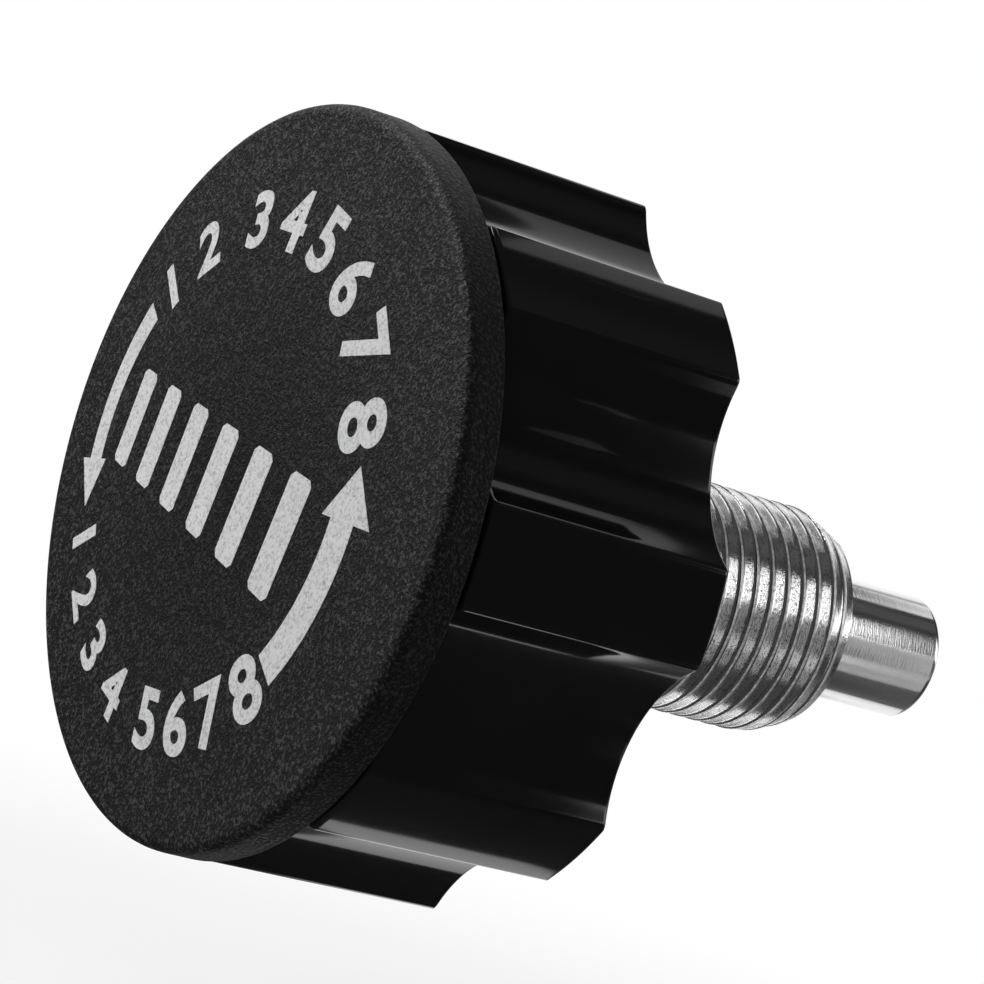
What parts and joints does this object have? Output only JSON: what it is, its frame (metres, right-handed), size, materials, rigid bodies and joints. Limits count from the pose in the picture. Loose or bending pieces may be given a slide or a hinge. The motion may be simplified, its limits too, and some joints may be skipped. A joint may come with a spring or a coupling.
{
  "type": "spring pull pin knob",
  "caption": "Scalloped pull knob with a printed disc face on a threaded sleeve; turning it screws the sleeve and pulling it draws back a sprung steel lock pin.",
  "frame": {"origin": "on the common axis, in the plane of the knob's back rim, where the visible thread begins", "axes": "+Y along the axis towards the tip of the pin, -Y out of the knob's face; +Z and +X each point through the middle of a land of the knob"},
  "size_m": [0.056, 0.0622, 0.056],
  "materials": {
    "cap_plastic": "fine spark-eroded grain",
    "body_plastic": "polished moulding",
    "zinc_steel": "bright zinc plate",
    "pin_steel": "bright ground",
    "spring_steel": "drawn wire",
    "turned_steel": "turned",
    "fastener_zinc": "zinc plate"
  },
  "bodies": {
    "sleeve": {"threaded_sleeve": "zinc_steel", "spring_retainer": "turned_steel", "return_spring": "spring_steel"},
    "knob": {"knob_body": "body_plastic", "face_cap": "cap_plastic", "lock_pin": "pin_steel", "pin_washer": "fastener_zinc", "pin_nut": "fastener_zinc"}
  },
  "joints": [
    {"name": "pin_pull", "type": "slide", "parent": "sleeve", "child": "knob", "axis": [0, -1, 0], "range_m": [0, 0.011], "stiffness_N_per_m": 2000, "springref_m": -0.01, "deforming": ["return_spring"]}
  ]
}
